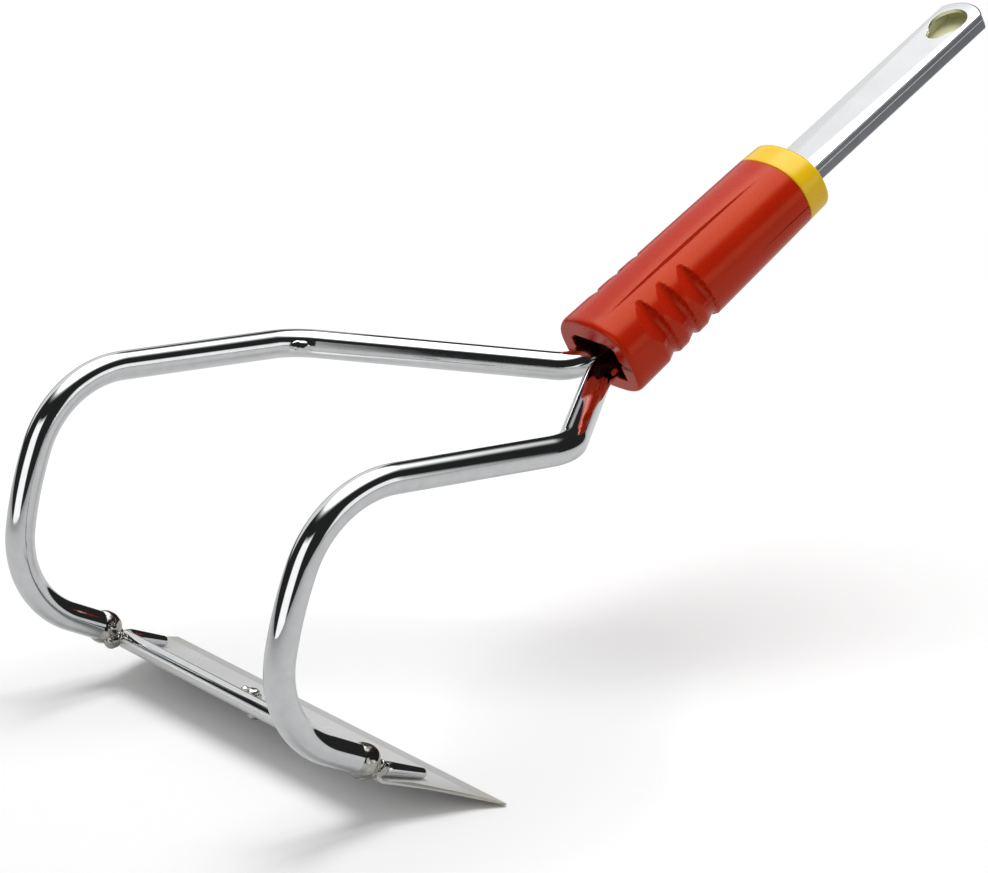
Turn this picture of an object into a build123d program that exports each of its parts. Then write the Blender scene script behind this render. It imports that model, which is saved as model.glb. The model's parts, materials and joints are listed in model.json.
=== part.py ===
"""Bow-framed draw hoe head with a snap-in tang for a long handle.

Two chromed rods leave a plastic grip side by side, splay out to both sides, run forward and drop
in a C to a blade that lies across their ends. A sheet-metal tang with a keyhole sticks out of the
back of the grip and latches into the handle. X points forward, Y to the left and Z up. The head
is posed as it works: the handle end rises to the back and the cutting edge touches Z = 0.
"""
from build123d import *
import math
import os

# Bow rods, with the left one described and the right one mirrored
rod_diameter = 8.0
bow_half_width = 61.5       # rod centre at the side bend, from the middle plane
side_bend_radius = 17.9
run_climb = 3.65            # degrees that the side run climbs on its way forward
run_length = 56.5
leg_lean = 1.26             # degrees that the C leans inward on its way down
shoulder_radius = 28.6
shoulder_turn = 70.5
shin_radius = 98.3
shin_turn = 13.3
heel_radius = 27.0
heel_turn = 72.6
foot_length = 11.9
mouth_reach = 4.6           # from the grip's front face to the corner where the rods splay
mouth_bend_radius = 14.0
rod_length_in_grip = 36.5
rod_gap = 0.2               # between the two rods inside the grip

# Handle axis
handle_pitch = 29.1         # degrees that the grip climbs on its way back
grip_front_x = -60.5        # front face centre, from the side bends
grip_front_z = -0.6

# Tang: two sheet channels, edge to edge
tang_width = 15.9
tang_thickness = 5.5
tang_sheet = 1.2
tang_end = 163.8            # from the grip's front face
tang_end_radius = 10.6
tang_front = 11.5           # the upper channel's front end, from the grip's front face
tang_seam_height = 0.6      # middle of the weld seam, above the tang's middle
seam_weld_width = 0.3
keyhole_radius = 6.0
keyhole_from_end = 9.7      # tang tip to the round's centre
keyhole_neck_radius = 3.6
keyhole_neck_offset = 4.6   # from the round's centre towards the grip
channel_gap = 0.3           # rod ends to the lower channel

# Grip: two shells and an end ring on one rounded section
grip_half_width = 14.9
grip_half_height = 11.6
grip_crown_radius = 29.9    # arcs over the top and under the bottom
grip_corner_radius = 10.2
grip_length = 74.7
grip_draft = 0.48           # degrees that each side draws in towards the rear
nose_inset = 1.0
nose_depth = 2.0
seam_height = -1.5          # parting plane of the shells, from the section's middle
seam_gap = 0.12
facet_half_width = 5.0
facet_front = 6.5
facet_rear = 67.5
facet_rise = 0.5
groove_count = 3
groove_first = 15.5         # from the front face
groove_pitch = 8.3
groove_lean = 8.0           # degrees that the grooves lean forward at the top
groove_radius = 18.65       # floor of a finger groove, from its own centre
groove_drop = 3.2           # the floor's centre below the section's middle
groove_across = 5.0         # the floor's centre past the middle plane
groove_flare = 42.0         # degrees from the groove's plane to each wall
pocket_half_width = 10.6
pocket_depth = 4.0
pocket_above = 1.6          # over the rods at the front face
pocket_below = 0.8
pocket_side = 1.0           # beside the rods, where they begin to bend
notch_top = 1.4             # point of each side notch, over the rods' middle
notch_shelf = 0.6
notch_bottom = -0.8
notch_waist = 1.2           # that the pocket narrows by under the notch
bore_play = 0.15

# End ring
ring_length = 8.8
ring_draft = 2.1
ring_edge = 1.2
neck_length = 5.0
neck_wall = 3.6             # shell wall left around the ring's neck
neck_play = 0.15

# Blade, its rolled front edge and the rod in it
sheet_thickness = 1.0
blade_pitch = 18.0          # degrees that the blade climbs on its way forward
blade_depth = 31.5
cutting_half_width = 76.0
shoulder_depth = 9.3        # length of the square part behind the rolled edge
curl_overhang = 3.5         # past the rods' centres
curl_wrap_angle = 83.0      # degrees that the sheet wraps round the blade rod
curl_play = 0.05
bevel_width = 7.0
edge_land = 0.4
tip_radius = 1.2
blade_rod_diameter = 4.0
foot_contact_angle = 34.8   # degrees below level, seen from the foot towards the blade rod
foot_gap = 0.6              # between foot and blade rod, filled by the weld
tail_inset = 0.3            # blade rod's tails, inside the rods' centres
tail_bend_radius = 3.4
tail_length = 11.0
tail_end_radius = 1.5

# Weld beads
bead_bevel = 0.35           # share of a bead's radius that is bevelled off at its ends
foot_bead_radius = 3.2
foot_bead_side = 0.2
foot_bead_ahead = 3.4
toe_bead_radius = 2.7
toe_bead_inset = 2.6
centre_bead_radius = 2.7
centre_bead_length = 6.4
centre_bead_back = 3.2      # behind the blade rod's axis
centre_bead_side = 2.0      # to the right of the middle plane
centre_bead_height = 0.8    # over the blade rod's axis
under_bead_radius = 2.0
under_bead_side = 5.5
under_bead_sink = 0.7
bend_bead_radius = 2.0
bend_bead_length = 8.0
bend_bead_sink = 1.2
bend_bead_place = 0.42      # share of the side bend, from its splayed end
tang_bead_radius = 1.3
tang_bead_length = 7.0
tang_bead_margin = 1.5

# Screws that clamp the shells through the tang
screw_diameter = 3.0
screw_head_diameter = 5.6
screw_head_height = 2.2
screw_socket = 2.4
screw_rear = 10.7           # from the last screw to the shells' rear end
screw_pitch = 18.0
screw_thread = 5.5          # length in the upper shell
screw_recess = 1.0
screw_play = 0.2

rod_radius = rod_diameter / 2
blade_rod_radius = blade_rod_diameter / 2
rod_axis_side = rod_radius + rod_gap / 2
tang_half_thickness = tang_thickness / 2
rod_axis_height = tang_half_thickness - tang_sheet - rod_radius
lower_channel_front = rod_length_in_grip + channel_gap
pitch = math.radians(handle_pitch)
handle = Plane(
    origin=(grip_front_x, 0, grip_front_z),
    x_dir=(0, -1, 0),
    z_dir=(-math.cos(pitch), 0, math.sin(pitch)),
)


def in_handle(side, height, back):
    """Point in the part's frame from a place on the handle: left, up and back."""
    return handle.from_local_coords(Vector(-side, height, back))


def bend(corner, before, after, radius):
    """Arc that rounds a corner between two directions of travel."""
    before = before.normalized()
    after = after.normalized()
    turn = math.radians(before.get_angle(after))
    reach = radius * math.tan(turn / 2)
    inward = (after - before).normalized()
    middle = corner + inward * (radius * (1 / math.cos(turn / 2) - 1))
    return ThreePointArc(corner - before * reach, middle, corner + after * reach)


def rod_piece(edge, radius):
    """Round rod along one straight line or one arc."""
    start = Plane(origin=edge @ 0, z_dir=edge % 0) * Circle(radius)
    if edge.geom_type == GeomType.LINE:
        return extrude(start, edge.length)
    arm = edge @ 0 - edge.arc_center
    spin = Axis(edge.arc_center, arm.cross(edge % 0))
    return revolve(start, spin, math.degrees(edge.length / edge.radius))


def rod_along(edges, radius):
    """Round rod along touching lines and arcs."""
    first, *rest = [rod_piece(edge, radius) for edge in edges]
    return first.fuse(*rest)


def largest(shape):
    """Biggest solid of a shape, so that a cut leaves no loose sliver."""
    return max(shape.solids(), key=lambda solid: solid.volume)


# The C of the left leg, drawn in its own leaning plane from the side bend forward
leg_plane = Plane(
    origin=(0, bow_half_width, 0),
    x_dir=(1, 0, 0),
    z_dir=(0, -math.cos(math.radians(leg_lean)), math.sin(math.radians(leg_lean))),
)


def c_curve():
    """Edges of the side run, shoulder, shin, heel and foot."""
    run = PolarLine((0, 0), run_length, run_climb)
    shoulder = JernArc(run @ 1, run % 1, shoulder_radius, -shoulder_turn)
    shin = JernArc(shoulder @ 1, shoulder % 1, shin_radius, -shin_turn)
    heel = JernArc(shin @ 1, shin % 1, heel_radius, -heel_turn)
    foot = Line(heel @ 1, heel @ 1 + (heel % 1) * foot_length)
    return [leg_plane * edge for edge in (run, shoulder, shin, heel, foot)]


def leg_edges():
    """Whole centreline of the left rod, from inside the grip to the foot."""
    run, *rest = c_curve()
    inner_end = in_handle(rod_axis_side, rod_axis_height, rod_length_in_grip)
    mouth = in_handle(rod_axis_side, rod_axis_height, -mouth_reach)
    side = run @ 0
    mouth_bend = bend(mouth, mouth - inner_end, side - mouth, mouth_bend_radius)
    side_bend = bend(side, side - mouth, run % 0, side_bend_radius)
    return [
        Line(inner_end, mouth_bend @ 0),
        mouth_bend,
        Line(mouth_bend @ 1, side_bend @ 0),
        side_bend,
        Line(side_bend @ 1, run @ 1),
        *rest,
    ]


leg_path = leg_edges()
foot_point = leg_path[-1] @ 1
left_leg = rod_along(leg_path, rod_radius) + Pos(foot_point) * Sphere(rod_radius)

# The blade rod touches the feet, and the blade is drawn from its axis
contact = math.radians(foot_contact_angle)
foot_reach = rod_radius + blade_rod_radius + foot_gap
bar_x = foot_point.X - foot_reach * math.cos(contact)
bar_z = foot_point.Z - foot_reach * math.sin(contact)
tilt = math.radians(blade_pitch)
blade_frame = Plane(
    origin=(bar_x, 0, bar_z),
    x_dir=(-math.cos(tilt), 0, -math.sin(tilt)),
    z_dir=(-math.sin(tilt), 0, math.cos(tilt)),
)
curl_inner = blade_rod_radius + curl_play
curl_outer = curl_inner + sheet_thickness
curl_half_width = foot_point.Y + curl_overhang
tail_side = foot_point.Y - tail_inset


def on_circle(radius, angle):
    """Point on a circle round the blade rod, in the blade's side view."""
    turn = math.radians(angle)
    return (radius * math.cos(turn), radius * math.sin(turn))


def blade_profile():
    """Side view of the sheet: rolled lip, flat and ground bevel."""
    turns = (-90, -90 - curl_wrap_angle / 2, -90 - curl_wrap_angle)
    inner = ThreePointArc([on_circle(curl_inner, turn) for turn in turns])
    outer = ThreePointArc([on_circle(curl_outer, turn) for turn in reversed(turns)])
    flat = Polyline(
        outer @ 1,
        (blade_depth, -curl_outer),
        (blade_depth, edge_land - curl_outer),
        (blade_depth - bevel_width, -curl_inner),
        inner @ 0,
    )
    return Plane.XZ * make_face(inner + Line(inner @ 1, outer @ 0) + outer + flat)


def blade_outline():
    """Plan of the blade: square behind the curl, then slanting out to the tips."""
    plan = Polygon(
        (-curl_outer - 1, -curl_half_width),
        (shoulder_depth, -curl_half_width),
        (blade_depth, -cutting_half_width),
        (blade_depth, cutting_half_width),
        (shoulder_depth, curl_half_width),
        (-curl_outer - 1, curl_half_width),
        align=None,
    )
    tips = plan.vertices().sort_by(Axis.X)[-2:]
    return fillet(tips, tip_radius)


def make_blade():
    """Sheet blade, trimmed to its plan."""
    sheet = extrude(blade_profile(), cutting_half_width + 1, both=True)
    trim = extrude(blade_outline(), 2 * curl_outer, both=True)
    return blade_frame * (sheet & trim)


def blade_rod_half():
    """Half of the blade rod: straight, bent back, and a tail that thins towards its end."""
    corner = Vector(0, -tail_side, 0)
    turn = bend(corner, Vector(0, -1, 0), Vector(1, 0, 0), tail_bend_radius)
    bar = rod_along([Line((0, 0, 0), turn @ 0), turn], blade_rod_radius)
    root = turn @ 1
    tip = root + Vector(tail_length, 0, tail_end_radius - blade_rod_radius)
    ends = [
        Plane(origin=root, z_dir=(1, 0, 0)) * Circle(blade_rod_radius),
        Plane(origin=tip, z_dir=(1, 0, 0)) * Circle(tail_end_radius),
    ]
    return bar + loft(ends) + Pos(tip) * Sphere(tail_end_radius)


def make_blade_rod():
    """Blade rod with both tails."""
    half = blade_rod_half()
    return blade_frame * (half + mirror(half, about=Plane.XZ))


left_leg = largest(left_leg)
right_leg = mirror(left_leg, about=Plane.XZ)
blade = make_blade()
blade_rod = make_blade_rod()


def barrel(radius, length):
    """Short round bead with bevelled ends."""
    blank = Cylinder(radius, length)
    return chamfer(blank.edges().filter_by(GeomType.CIRCLE), min(radius, length) * bead_bevel)


def make_foot_bead():
    """Irregular weld bead that joins the left foot, the blade rod and the curl."""
    joint = Vector(bar_x + foot_bead_ahead, foot_point.Y + foot_bead_side, (bar_z + foot_point.Z) / 2)
    toe = joint + Vector(toe_bead_inset / 2, -toe_bead_inset - foot_bead_side, -1)
    along = Rot(90, 0, 0)
    bead = Pos(joint) * along * barrel(foot_bead_radius, 2 * foot_bead_radius)
    bead = bead + Pos(toe) * along * barrel(toe_bead_radius, 2 * toe_bead_radius)
    return largest(bead - left_leg - blade_rod - blade)


def make_centre_bead():
    """Bead on top of the blade that ties the blade rod to the sheet."""
    place = Vector(centre_bead_back, centre_bead_side, centre_bead_height)
    bead = Pos(place) * Rot(90, 0, 0) * barrel(centre_bead_radius, centre_bead_length)
    return largest(blade_frame * bead - blade_rod - blade)


def make_under_bead():
    """Small bead under the curl."""
    place = Pos(0, -under_bead_side, under_bead_sink - curl_outer)
    bead = blade_frame * place * Rot(90, 0, 0) * barrel(under_bead_radius, 2 * under_bead_radius)
    return largest(bead - blade - blade_rod)


def make_bend_bead():
    """Low bead along the inner side of the left rod's side bend."""
    side_bend = leg_path[3]
    middle = side_bend @ bend_bead_place
    inward = (side_bend.arc_center - middle).normalized()
    origin = middle + inward * (rod_radius - bend_bead_sink)
    place = Plane(origin=origin, z_dir=side_bend % bend_bead_place)
    return largest(place * barrel(bend_bead_radius, bend_bead_length) - left_leg)


# Shapes on the handle are drawn with x across, y up and z back from the grip's front face
def draft_inset(back):
    """How far the section is drawn in at a distance from the front face."""
    return back * math.tan(math.radians(grip_draft))


def grip_section(back, inset=0.0):
    """Section at a distance from the front face, drawn in by the draft and an inset."""
    total = draft_inset(back) + inset
    high = grip_half_height - total
    crown = grip_crown_radius - total
    outline = Rectangle(2 * (grip_half_width - total), 2 * high)
    outline = outline & Pos(0, high - crown) * Circle(crown)
    outline = outline & Pos(0, crown - high) * Circle(crown)
    return Pos(0, 0, back) * fillet(outline.vertices(), grip_corner_radius - total)


def frustum(back, length, taper, inset=0.0):
    """Section drawn back over a length, with each side drawing in by an angle."""
    start = -grip_section(back, inset).face()
    return extrude(start, -length, taper=taper)


def facet_panel():
    """Raised panel on top of the grip that runs out into the surface at both ends."""
    middle = (facet_front + facet_rear) / 2
    reach = (facet_rear - facet_front) / 2
    radius = (reach ** 2 + facet_rise ** 2) / (2 * facet_rise)
    raised = frustum(0, grip_length, grip_draft, -facet_rise)
    strip = Pos(0, grip_half_height, middle) * Box(2 * facet_half_width, grip_half_height, 2 * reach)
    top = grip_half_height - draft_inset(middle) + facet_rise
    roll = Rot(grip_draft, 0, 0) * Rot(0, 90, 0) * Cylinder(radius, 4 * facet_half_width)
    return raised & strip & Pos(0, top - radius, middle) * roll


def finger_grooves():
    """Ring cuts with offset centres, so that each groove fades out at the top and below the seam."""
    outer = groove_across + grip_half_width + 4
    spread = (outer - groove_radius) * math.tan(math.radians(groove_flare))
    wedge = make_face(Polyline((groove_radius, 0), (outer, -spread), (outer, spread), close=True))
    ring = Rot(-groove_lean, 0, 0) * revolve(Plane.XZ * wedge, Axis.Z)
    setback = groove_first + groove_drop * math.tan(math.radians(groove_lean))
    return [
        Pos(side * groove_across, -groove_drop, setback + groove_pitch * number) * ring
        for number in range(groove_count)
        for side in (-1, 1)
    ]


def rod_bore():
    """Space for both rods, with play."""
    width = 2 * (rod_axis_side + rod_radius + bore_play)
    height = rod_diameter + 2 * bore_play
    bore = extrude(SlotOverall(width, height), rod_length_in_grip + bore_play + 1)
    return Pos(0, rod_axis_height, -1) * bore


def tang_bore(start):
    """Space for the tang's channels from one place to beyond the ring."""
    width = tang_width + 2 * bore_play
    height = tang_thickness + 2 * bore_play
    length = grip_length + ring_length + 1 - start
    return Pos(0, 0, start + length / 2) * Box(width, height, length)


def mouth_pocket():
    """Pocket in the front face with a pointed notch on both sides of the rods."""
    top = rod_radius + pocket_above
    bottom = -rod_radius - pocket_below
    shelf = rod_axis_side + rod_radius + pocket_side
    waist = pocket_half_width - notch_waist
    right = [
        (shelf - pocket_side, top),
        (shelf, notch_shelf),
        (pocket_half_width, notch_top),
        (waist, notch_bottom),
        (pocket_half_width, bottom),
    ]
    left = [(-across, up) for across, up in reversed(right)]
    outline = Polygon(*right, *left, align=None)
    return Pos(0, rod_axis_height, -1) * extrude(outline, pocket_depth + 1, dir=(0, 0, 1))


def screw_places():
    """Distances of the screws from the front face."""
    last = grip_length - screw_rear
    return [last - screw_pitch, last]


def shell_bottom(back):
    """Height of the grip's underside on the middle plane."""
    return draft_inset(back) - grip_half_height


def screw_bore(back):
    """Hole for one screw: head recess from below, clearance through the tang, thread above."""
    bottom = shell_bottom(back)
    head = Cylinder(screw_head_diameter / 2 + screw_play, screw_recess + screw_head_height + 4)
    head_top = bottom + screw_recess + screw_head_height
    head = Pos(0, head_top - (screw_recess + screw_head_height + 4) / 2, back) * Rot(90, 0, 0) * head
    shank_top = tang_half_thickness + screw_thread + 0.5
    shank = Cylinder(screw_diameter / 2 + screw_play / 2, shank_top - head_top)
    return head + Pos(0, (shank_top + head_top) / 2, back) * Rot(90, 0, 0) * shank


def screw(back):
    """One pan-head screw with a hexagon socket, driven from below."""
    head_top = shell_bottom(back) + screw_recess + screw_head_height
    shank_top = tang_half_thickness + screw_thread
    head = Cylinder(screw_head_diameter / 2, screw_head_height)
    socket = extrude(RegularPolygon(screw_socket / 2, 6), screw_head_height * 0.6)
    head = head - Pos(0, 0, -screw_head_height / 2) * socket
    shank = Cylinder(screw_diameter / 2, shank_top - head_top)
    upright = Rot(-90, 0, 0)
    return (
        Pos(0, head_top - screw_head_height / 2, back) * upright * head
        + Pos(0, (shank_top + head_top) / 2, back) * upright * shank
    )


ring_neck_back = grip_length - neck_length


def neck(play):
    """Collar of the end ring that reaches into the shells."""
    inset = draft_inset(grip_length - ring_neck_back) + neck_wall - play
    return extrude(grip_section(ring_neck_back - play, inset), neck_length + play + 0.5)


def grip_body():
    """Both shells in one piece, before the parting cut."""
    skin = frustum(nose_depth, grip_length - nose_depth, grip_draft)
    nose_angle = math.degrees(math.atan(nose_inset / nose_depth))
    nose = extrude(grip_section(nose_depth).face(), -nose_depth, taper=nose_angle)
    body = skin + nose + facet_panel()
    for cut in finger_grooves():
        body = body - cut
    body = body - rod_bore() - tang_bore(tang_front - bore_play) - mouth_pocket() - neck(neck_play)
    for back in screw_places():
        body = body - screw_bore(back)
    return body


def shells():
    """Upper and lower shell, parted along the seam plane."""
    body = grip_body()
    reach = 4 * grip_length
    above = Pos(0, seam_height + seam_gap / 2 + reach / 2, 0) * Box(reach, reach, reach)
    below = Pos(0, seam_height - seam_gap / 2 - reach / 2, 0) * Box(reach, reach, reach)
    return largest(body & above), largest(body & below)


def make_ring():
    """End ring with its collar and the tang's opening."""
    band_length = ring_length - ring_edge
    band = frustum(grip_length, band_length, ring_draft)
    drawn_in = band_length * math.tan(math.radians(ring_draft)) - draft_inset(band_length)
    lip = frustum(grip_length + band_length, ring_edge, 45, drawn_in)
    return largest(band + lip + neck(0) - tang_bore(tang_front))


def tang_plan(inset, front):
    """Plan of the tang, round at its end and open to the grip, as a sketch of x and distance."""
    half = tang_width / 2 - inset
    radius = tang_end_radius - inset
    drop = radius - math.sqrt(radius ** 2 - half ** 2)
    tip = tang_end - inset
    arc = ThreePointArc((half, tip - drop), (0, tip), (-half, tip - drop))
    sides = Polyline((-half, tip - drop), (-half, front), (half, front), (half, tip - drop))
    return make_face(arc + sides)


def tang_block(inset, front, low, high):
    """Solid with the tang's plan between two heights."""
    block = extrude(tang_plan(inset, front), high - low)
    return Pos(0, high, 0) * Rot(90, 0, 0) * block


def keyhole():
    """Round with a neck towards the grip, cut through the upper sheet."""
    centre = tang_end - keyhole_from_end
    depth = 4 * tang_sheet
    big = Pos(0, tang_half_thickness, centre) * Rot(90, 0, 0) * Cylinder(keyhole_radius, depth)
    neck_back = centre - keyhole_neck_offset
    small = Cylinder(keyhole_neck_radius, depth)
    return big + Pos(0, tang_half_thickness, neck_back) * Rot(90, 0, 0) * small


seam_top = tang_seam_height + seam_weld_width / 2
seam_bottom = tang_seam_height - seam_weld_width / 2


def make_upper_channel():
    """Upper sheet of the tang, folded down at its sides and end."""
    top = tang_half_thickness
    tray = tang_block(0, tang_front, seam_top, top)
    hollow = tang_block(tang_sheet, tang_front - 1, seam_top - 1, top - tang_sheet)
    channel = tray - hollow - keyhole()
    for back in screw_places():
        channel = channel - screw_bore(back)
    return channel


def make_lower_channel():
    """Lower sheet of the tang, folded up at its sides and end."""
    bottom = -tang_half_thickness
    tray = tang_block(0, lower_channel_front, bottom, seam_bottom)
    hollow = tang_block(tang_sheet, lower_channel_front - 1, bottom + tang_sheet, seam_bottom + 1)
    channel = tray - hollow
    for back in screw_places():
        channel = channel - screw_bore(back)
    return channel


def make_seam_weld():
    """Left half of the weld that runs between the edges of the two channels."""
    strip = tang_block(0, lower_channel_front, seam_bottom, seam_top)
    core = tang_block(tang_sheet, lower_channel_front - 1, seam_bottom - 1, seam_top + 1)
    left = Pos(-tang_width / 2, 0, 0) * Box(tang_width, 40, 4 * tang_end)
    return largest((strip - core) & left)


def make_tang_bead(start):
    """Bead in the valley between the rods, under the upper channel."""
    height = rod_axis_height + rod_radius - tang_bead_radius / 2
    bead = Pos(0, height, start + tang_bead_length / 2) * Cylinder(tang_bead_radius, tang_bead_length)
    rods = [
        Pos(side * rod_axis_side, rod_axis_height, start) * Cylinder(rod_radius, 4 * tang_bead_length)
        for side in (-1, 1)
    ]
    plate = Pos(0, tang_half_thickness, start) * Box(tang_width, 2 * tang_sheet, 4 * tang_bead_length)
    return largest(bead - rods[0] - rods[1] - plate)


upper_shell, lower_shell = shells()
foot_bead = make_foot_bead()
bend_bead = make_bend_bead()
seam_weld = make_seam_weld()
last_bead = rod_length_in_grip - tang_bead_margin - tang_bead_length
screws = Compound(children=[screw(back) for back in screw_places()])

on_bow = {
    "left_leg": left_leg,
    "right_leg": right_leg,
    "blade": blade,
    "blade_rod": blade_rod,
    "left_foot_weld": foot_bead,
    "right_foot_weld": mirror(foot_bead, about=Plane.XZ),
    "centre_weld": make_centre_bead(),
    "under_weld": make_under_bead(),
    "left_bend_bead": bend_bead,
    "right_bend_bead": mirror(bend_bead, about=Plane.XZ),
}
on_handle = {
    "upper_grip_shell": upper_shell,
    "lower_grip_shell": lower_shell,
    "end_ring": make_ring(),
    "upper_tang_channel": make_upper_channel(),
    "lower_tang_channel": make_lower_channel(),
    "left_seam_weld": seam_weld,
    "right_seam_weld": mirror(seam_weld, about=Plane.YZ),
    "front_tang_weld": make_tang_bead(tang_front + tang_bead_margin),
    "rear_tang_weld": make_tang_bead(last_bead),
    "shell_screws": screws,
}

# The origin lies on the floor under the middle of the part's length
placed = dict(on_bow)
placed.update({name: handle * shape for name, shape in on_handle.items()})
boxes = [shape.bounding_box() for shape in placed.values()]
middle_x = (min(box.min.X for box in boxes) + max(box.max.X for box in boxes)) / 2
floor_z = min(box.min.Z for box in boxes)
to_origin = Pos(-middle_x, 0, -floor_z)

os.makedirs("parts", exist_ok=True)
for name, shape in placed.items():
    export_step(to_origin * shape, f"parts/{name}.step")

latch = to_origin * Pos(in_handle(0, tang_half_thickness, tang_end - keyhole_from_end))
print("keyhole centre on the tang's top", latch.position)
print("origin shift", -middle_x, -floor_z)
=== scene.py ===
"""Looks of the draw hoe head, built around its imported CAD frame.

Lengths are in millimetres, as on the drawing, until a finished piece is stored in metres. X points
forward, Y to the left and Z up. The handle frame measures across, up and back from the grip's front
face; the blade frame measures back from the blade rod's axis, across, and up from the sheet.
"""

import json
import logging
import math
from dataclasses import dataclass, field
from enum import Enum
from typing import Callable

import bmesh
import bpy
from mathutils import Matrix, Vector, noise


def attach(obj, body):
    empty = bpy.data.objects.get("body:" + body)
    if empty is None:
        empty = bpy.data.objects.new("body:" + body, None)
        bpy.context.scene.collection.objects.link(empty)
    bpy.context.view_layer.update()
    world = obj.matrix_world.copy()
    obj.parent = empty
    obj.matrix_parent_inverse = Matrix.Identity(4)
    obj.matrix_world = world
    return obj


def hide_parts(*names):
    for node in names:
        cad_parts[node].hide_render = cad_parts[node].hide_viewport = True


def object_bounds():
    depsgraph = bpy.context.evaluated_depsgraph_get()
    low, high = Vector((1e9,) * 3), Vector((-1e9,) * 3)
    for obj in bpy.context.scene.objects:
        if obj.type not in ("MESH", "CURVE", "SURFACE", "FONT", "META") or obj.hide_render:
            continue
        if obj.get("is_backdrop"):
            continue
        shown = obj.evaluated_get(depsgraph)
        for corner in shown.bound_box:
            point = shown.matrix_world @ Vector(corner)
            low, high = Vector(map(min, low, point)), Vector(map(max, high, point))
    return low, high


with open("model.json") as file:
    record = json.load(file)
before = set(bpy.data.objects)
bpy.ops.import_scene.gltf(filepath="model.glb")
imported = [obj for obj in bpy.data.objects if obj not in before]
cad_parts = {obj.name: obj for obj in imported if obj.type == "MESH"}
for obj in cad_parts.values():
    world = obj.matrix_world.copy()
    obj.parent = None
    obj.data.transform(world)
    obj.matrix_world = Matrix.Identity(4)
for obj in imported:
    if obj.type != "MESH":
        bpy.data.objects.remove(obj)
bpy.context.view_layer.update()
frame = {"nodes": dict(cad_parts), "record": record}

MM = 0.001
SMOOTH_LIMIT = math.radians(38)
log = logging.getLogger("hoe_head")


def linear(hex_colour: str) -> tuple[float, float, float, float]:
    """Turns an sRGB hex colour into linear values.

    Args:
        hex_colour: six hex digits after a hash sign.

    Returns:
        Linear red, green and blue, with an alpha of 1.
    """
    channels = [int(hex_colour[start:start + 2], 16) / 255 for start in (1, 3, 5)]
    values = [c / 12.92 if c <= 0.04045 else ((c + 0.055) / 1.055) ** 2.4 for c in channels]
    return (*values, 1.0)


def smooth_step(value: float, low: float, high: float) -> float:
    """Returns 0 below low, 1 above high and a smooth rise between them."""
    share = min(max((value - low) / (high - low), 0.0), 1.0)
    return share * share * (3 - 2 * share)


def frame_matrix(origin: Vector, x_axis: Vector, y_axis: Vector, z_axis: Vector) -> Matrix:
    """Builds the matrix that takes a local frame's millimetres into the part's.

    Args:
        origin: the frame's origin.
        x_axis: direction of its x.
        y_axis: direction of its y.
        z_axis: direction of its z.

    Returns:
        The frame's 4 by 4 matrix.
    """
    turned = Matrix((x_axis, y_axis, z_axis)).transposed()
    return Matrix.Translation(origin) @ turned.to_4x4()


class Side(Enum):
    """Side of the part, with the sign of its Y."""

    LEFT = 1
    RIGHT = -1


@dataclass
class Layout:
    """Places that the sub-assemblies share, on the drawing's origin at the side bends."""

    handle_pitch: float = 29.1
    grip_front: tuple[float, float, float] = (-60.5, 0.0, -0.6)
    tang_half_thickness: float = 2.75
    tang_sheet: float = 1.2
    keyhole_back: float = 154.1
    blade_pitch: float = 18.0
    rod_radius: float = 4.0
    blade_rod_radius: float = 2.0
    foot_contact: float = 34.8
    foot_gap: float = 0.6
    handle: Matrix = field(init=False)
    blade: Matrix = field(init=False)

    def __post_init__(self) -> None:
        """Works out the handle frame from its pitch."""
        pitch = math.radians(self.handle_pitch)
        back = Vector((-math.cos(pitch), 0, math.sin(pitch)))
        up = Vector((math.sin(pitch), 0, math.cos(pitch)))
        self.handle = frame_matrix(Vector(self.grip_front), Vector((0, -1, 0)), up, back)
        self.blade = Matrix.Identity(4)

    def in_handle(self, left: float, up: float, back: float) -> Vector:
        """Returns the point at a place on the handle."""
        return self.handle @ Vector((-left, up, back))

    def set_blade(self, foot: Vector) -> None:
        """Hangs the blade frame on the left foot.

        Args:
            foot: end of the left rod's centreline.
        """
        contact = math.radians(self.foot_contact)
        reach = self.rod_radius + self.blade_rod_radius + self.foot_gap
        origin = Vector((foot.x - reach * math.cos(contact), 0, foot.z - reach * math.sin(contact)))
        tilt = math.radians(self.blade_pitch)
        back = Vector((-math.cos(tilt), 0, -math.sin(tilt)))
        up = Vector((-math.sin(tilt), 0, math.cos(tilt)))
        self.blade = frame_matrix(origin, back, Vector((0, -1, 0)), up)

    def to_row(self) -> Matrix:
        """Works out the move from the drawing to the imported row, from the keyhole's mount.

        Returns:
            The matrix that also turns millimetres into metres.
        """
        latch = next(m for m in frame["record"]["mounts"] if m["name"] == "tang_latch")
        drawn = self.in_handle(0, self.tang_half_thickness - self.tang_sheet / 2, self.keyhole_back)
        shift = Vector(latch["pos_m"]) - drawn * MM
        shift.y = 0
        return Matrix.Translation(shift) @ Matrix.Scale(MM, 4)


def add_node(tree: bpy.types.NodeTree, kind: str, settings: dict | None = None,
             sockets: dict | None = None) -> bpy.types.Node:
    """Adds one node with its settings, values and links.

    Args:
        tree: node tree that takes the node.
        kind: the node's type name.
        settings: attributes of the node.
        sockets: input name or number, with a value or with the output socket to link from.

    Returns:
        The new node.
    """
    node = tree.nodes.new(kind)
    for name, value in (settings or {}).items():
        setattr(node, name, value)
    for name, value in (sockets or {}).items():
        if isinstance(value, bpy.types.NodeSocket):
            tree.links.new(value, node.inputs[name])
        else:
            node.inputs[name].default_value = value
    return node


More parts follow.
